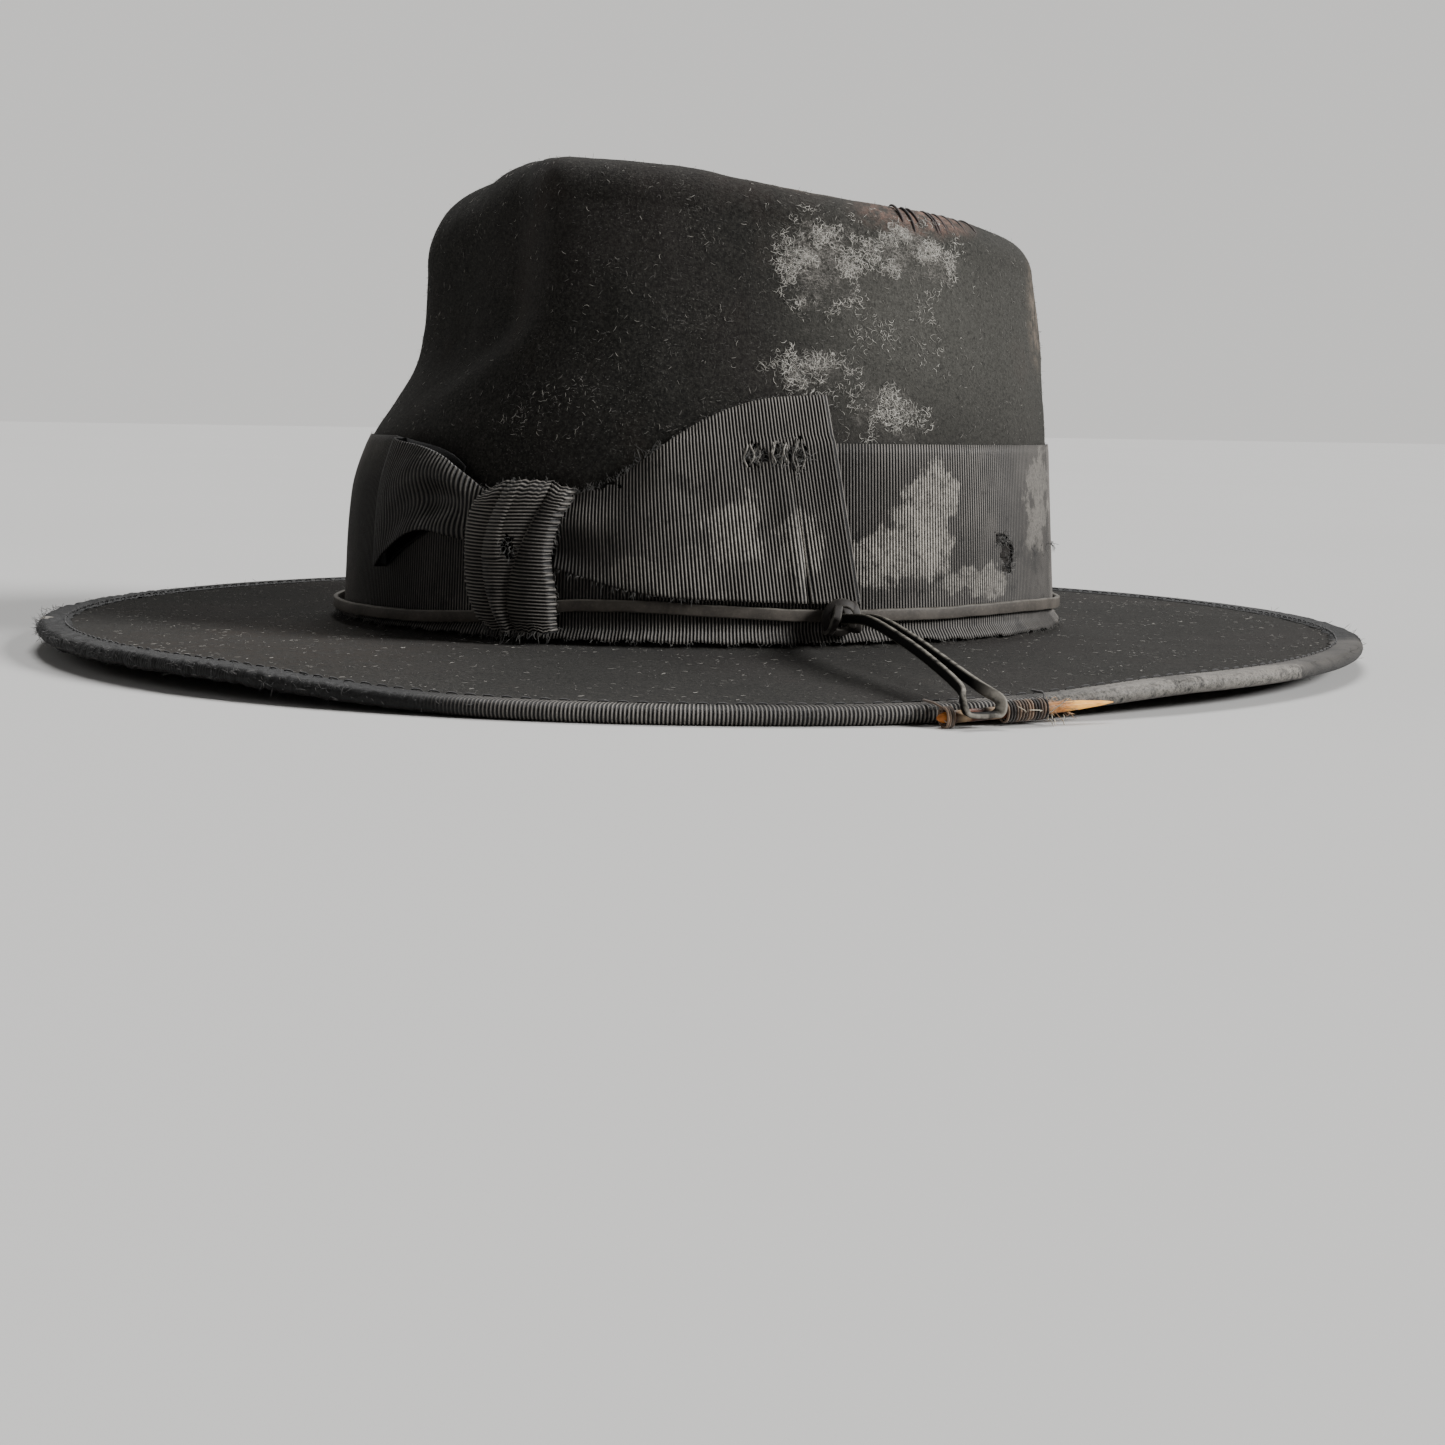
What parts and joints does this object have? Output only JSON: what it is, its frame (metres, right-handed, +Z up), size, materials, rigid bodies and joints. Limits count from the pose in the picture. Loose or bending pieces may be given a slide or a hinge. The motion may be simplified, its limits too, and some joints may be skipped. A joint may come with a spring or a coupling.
{
  "type": "wide-brimmed felt hat",
  "caption": "Wide-brimmed creased felt hat with grosgrain band and bow, leather lace looped over a quill toggle, sweatband and lining.",
  "frame": {"origin": "centre of the brim on the plane the brim rests on", "axes": "+Z up through the crown, -X towards the front of the hat, -Y towards the wearer's left, where the bow sits"},
  "size_m": [0.384, 0.352, 0.1356],
  "materials": {
    "felt": "dusty black wool felt, worn and stained",
    "ribbon": "faded black ribbed grosgrain with frayed edges",
    "thread": "black sewing thread",
    "mending_thread": "dark brown waxed thread",
    "lace": "grey-green waxed flat lace",
    "quill": "amber, dark and cream bands, satin",
    "sweatband_leather": "brown roan leather, polished by wear",
    "satin": "black lining satin",
    "cord": "black covered cord"
  },
  "bodies": {
    "hat": {"felt_body": "felt", "brim_binding": "ribbon", "binding_stitching": "thread", "mend_stitching": "mending_thread", "hatband": "ribbon", "bow_rear_wing": "ribbon", "bow_front_wing": "ribbon", "bow_knot": "ribbon", "lace_band": "lace", "lace_knot": "lace", "quill_lashing": "mending_thread", "sweatband_reed": "cord", "sweatband_stitching": "thread", "lining_side": "satin", "lining_tip": "satin", "lining_piping": "cord"},
    "sweatband": {"sweatband": "sweatband_leather", "sweatband_bow": "ribbon"},
    "lace_loop": {"lace_loop": "lace"},
    "quill": {"quill": "quill"}
  },
  "joints": [
    {"name": "sweatband_turn_out", "type": "slide", "parent": "hat", "child": "sweatband", "axis": [0, 0, -1], "range_m": [0, 0.047]},
    {"name": "lace_loop_lift", "type": "hinge", "parent": "hat", "child": "lace_loop", "pos_m": [0.03823, -0.09283, 0.01621], "axis": [-0.9555, -0.2949, 0], "range_deg": [0, 80]},
    {"name": "quill_pull_out", "type": "slide", "parent": "hat", "child": "quill", "axis": [0.9353, 0.3504, 0.0497], "range_m": [0, 0.045]}
  ]
}
